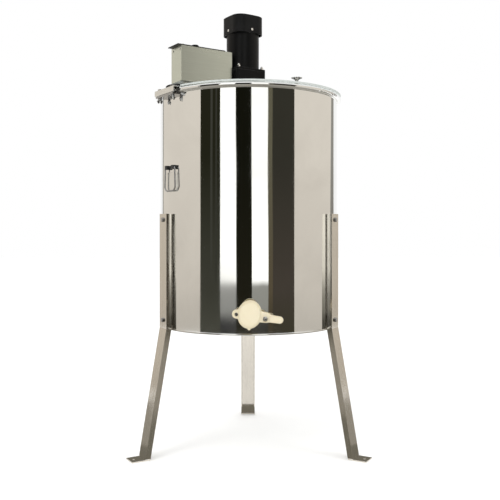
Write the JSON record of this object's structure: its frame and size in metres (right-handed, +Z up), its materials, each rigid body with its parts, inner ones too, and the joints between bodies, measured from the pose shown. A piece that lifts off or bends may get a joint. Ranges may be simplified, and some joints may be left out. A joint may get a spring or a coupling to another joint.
{
  "type": "honey extractor",
  "caption": "Upright steel drum on splayed legs with a gearmotor on a crossbeam that spins a comb cage, hinged clear half lids and a pivoting gate for the honey.",
  "frame": {"origin": "on the floor under the drum's axis, at the centre of the three foot bolt holes", "axes": "+Z up along the drum and the cage shaft, -Y towards the honey gate, +X to the right seen from the gate"},
  "size_m": [0.622, 0.633, 1.1575],
  "materials": {
    "drum_steel": "mirror polished stainless",
    "leg_steel": "brushed stainless",
    "beam_steel": "satin stainless",
    "box_steel": "brushed stainless",
    "bright_steel": "bright fasteners",
    "dark_steel": "darker wire",
    "cage_steel": "satin stainless",
    "gate_plastic": "moulded cream nylon",
    "seal_rubber": "silicone",
    "black_paint": "satin black",
    "black_plastic": "moulded black",
    "lug_black": "dark lugs",
    "cord_rubber": "black sheath",
    "plug_plastic": "moulded plug",
    "board_green": "circuit board",
    "motor_copper": "laminations and windings",
    "gear_metal": "sintered gear",
    "rotor_metal": "laminated rotor",
    "lid_clear": "clear sheet"
  },
  "bodies": {
    "stand": {"drum_shell": "drum_steel", "drum_floor": "drum_steel", "bearing_cup": "drum_steel", "leg_left": "leg_steel", "leg_right": "leg_steel", "leg_back": "leg_steel", "leg_spacers": "leg_steel", "leg_bolts": "dark_steel", "gate_stub": "drum_steel", "gate_body": "gate_plastic", "gate_seal": "seal_rubber", "gate_screws": "bright_steel", "handle_pads": "beam_steel", "handle_lugs": "lug_black", "crossbeam": "beam_steel", "rim_clamps": "beam_steel", "clamp_bolts": "bright_steel", "wing_nuts": "bright_steel", "box_riser": "beam_steel", "control_box": "box_steel", "control_panel": "black_plastic", "panel_screws": "bright_steel", "circuit_board": "board_green", "speed_control": "black_plastic", "switch_body": "black_plastic", "cord_gland": "black_plastic", "power_cord": "cord_rubber", "cord_coil": "cord_rubber", "power_plug": "plug_plastic", "gearbox_housing": "black_paint", "gearbox_cover": "black_paint", "gearbox_bolts": "bright_steel", "motor_shell": "black_paint", "fan_cover": "black_plastic", "cover_screws": "bright_steel", "stator": "motor_copper", "drive_bearings": "bright_steel", "lid_hinges": "beam_steel"},
    "gate_flap": {"gate_flap": "gate_plastic"},
    "gate_nut": {"gate_nut": "bright_steel"},
    "handle_left": {"handle_bail_left": "dark_steel"},
    "handle_right": {"handle_bail_right": "dark_steel"},
    "speed_knob": {"speed_knob": "black_plastic"},
    "switch_rocker": {"switch_rocker": "black_plastic"},
    "motor_rotor": {"rotor": "rotor_metal", "cooling_fan": "black_plastic"},
    "lay_shaft": {"lay_gear": "gear_metal"},
    "cage": {"output_gear": "gear_metal", "shaft_coupling": "cage_steel", "cage_shaft": "cage_steel", "cage_arms": "cage_steel", "cage_hoops": "cage_steel", "cage_rods": "cage_steel", "cage_screens": "cage_steel"},
    "front_lid": {"lid_front": "lid_clear", "lid_knob_front": "bright_steel", "lid_leaf_front": "beam_steel"},
    "back_lid": {"lid_back": "lid_clear", "lid_knob_back": "bright_steel", "lid_leaf_back": "beam_steel"}
  },
  "joints": [
    {"name": "cage_spin", "type": "hinge", "parent": "stand", "child": "cage", "pos_m": [0, 0, 0.6], "axis": [0, 0, 1], "continuous": true},
    {"name": "lay_spin", "type": "hinge", "parent": "stand", "child": "lay_shaft", "pos_m": [-0.00113, -0.02157, 0.97], "axis": [0, 0, 1], "continuous": true},
    {"name": "rotor_spin", "type": "hinge", "parent": "stand", "child": "motor_rotor", "pos_m": [-0.01635, -0.01062, 1.05], "axis": [0, 0, 1], "continuous": true},
    {"name": "gate_flap_hinge", "type": "hinge", "parent": "stand", "child": "gate_flap", "pos_m": [-0.03151, -0.271, 0.37814], "axis": [0, -1, 0], "range_deg": [0, 75]},
    {"name": "gate_nut_turn", "type": "hinge", "parent": "stand", "child": "gate_nut", "pos_m": [0.03694, -0.277, 0.3673], "axis": [0, -1, 0], "continuous": true},
    {"name": "left_handle_hinge", "type": "hinge", "parent": "stand", "child": "handle_left", "pos_m": [-0.20191, -0.13877, 0.738], "axis": [-0.5664, 0.8241, 0], "range_deg": [0, 110]},
    {"name": "right_handle_hinge", "type": "hinge", "parent": "stand", "child": "handle_right", "pos_m": [0.20191, 0.13877, 0.738], "axis": [0.5664, -0.8241, 0], "range_deg": [0, 110]},
    {"name": "front_lid_hinge", "type": "hinge", "parent": "stand", "child": "front_lid", "pos_m": [0.02941, -0.04529, 0.9426], "axis": [-0.8387, -0.5446, 0], "range_deg": [0, 80]},
    {"name": "back_lid_hinge", "type": "hinge", "parent": "stand", "child": "back_lid", "pos_m": [-0.02941, 0.04529, 0.9426], "axis": [0.8387, 0.5446, 0], "range_deg": [0, 80]},
    {"name": "speed_knob_turn", "type": "hinge", "parent": "stand", "child": "speed_knob", "pos_m": [-0.1409, -0.0915, 1.055], "axis": [0, 0, -1], "range_deg": [0, 280]},
    {"name": "switch_tilt", "type": "hinge", "parent": "stand", "child": "switch_rocker", "pos_m": [-0.10232, -0.06645, 1.0498], "axis": [-0.5446, 0.8387, 0], "range_deg": [0, 14]}
  ],
  "couplings": [
    {"joint": "lay_spin", "follows": "cage_spin", "ratio": -3},
    {"joint": "rotor_spin", "follows": "cage_spin", "ratio": 12}
  ]
}
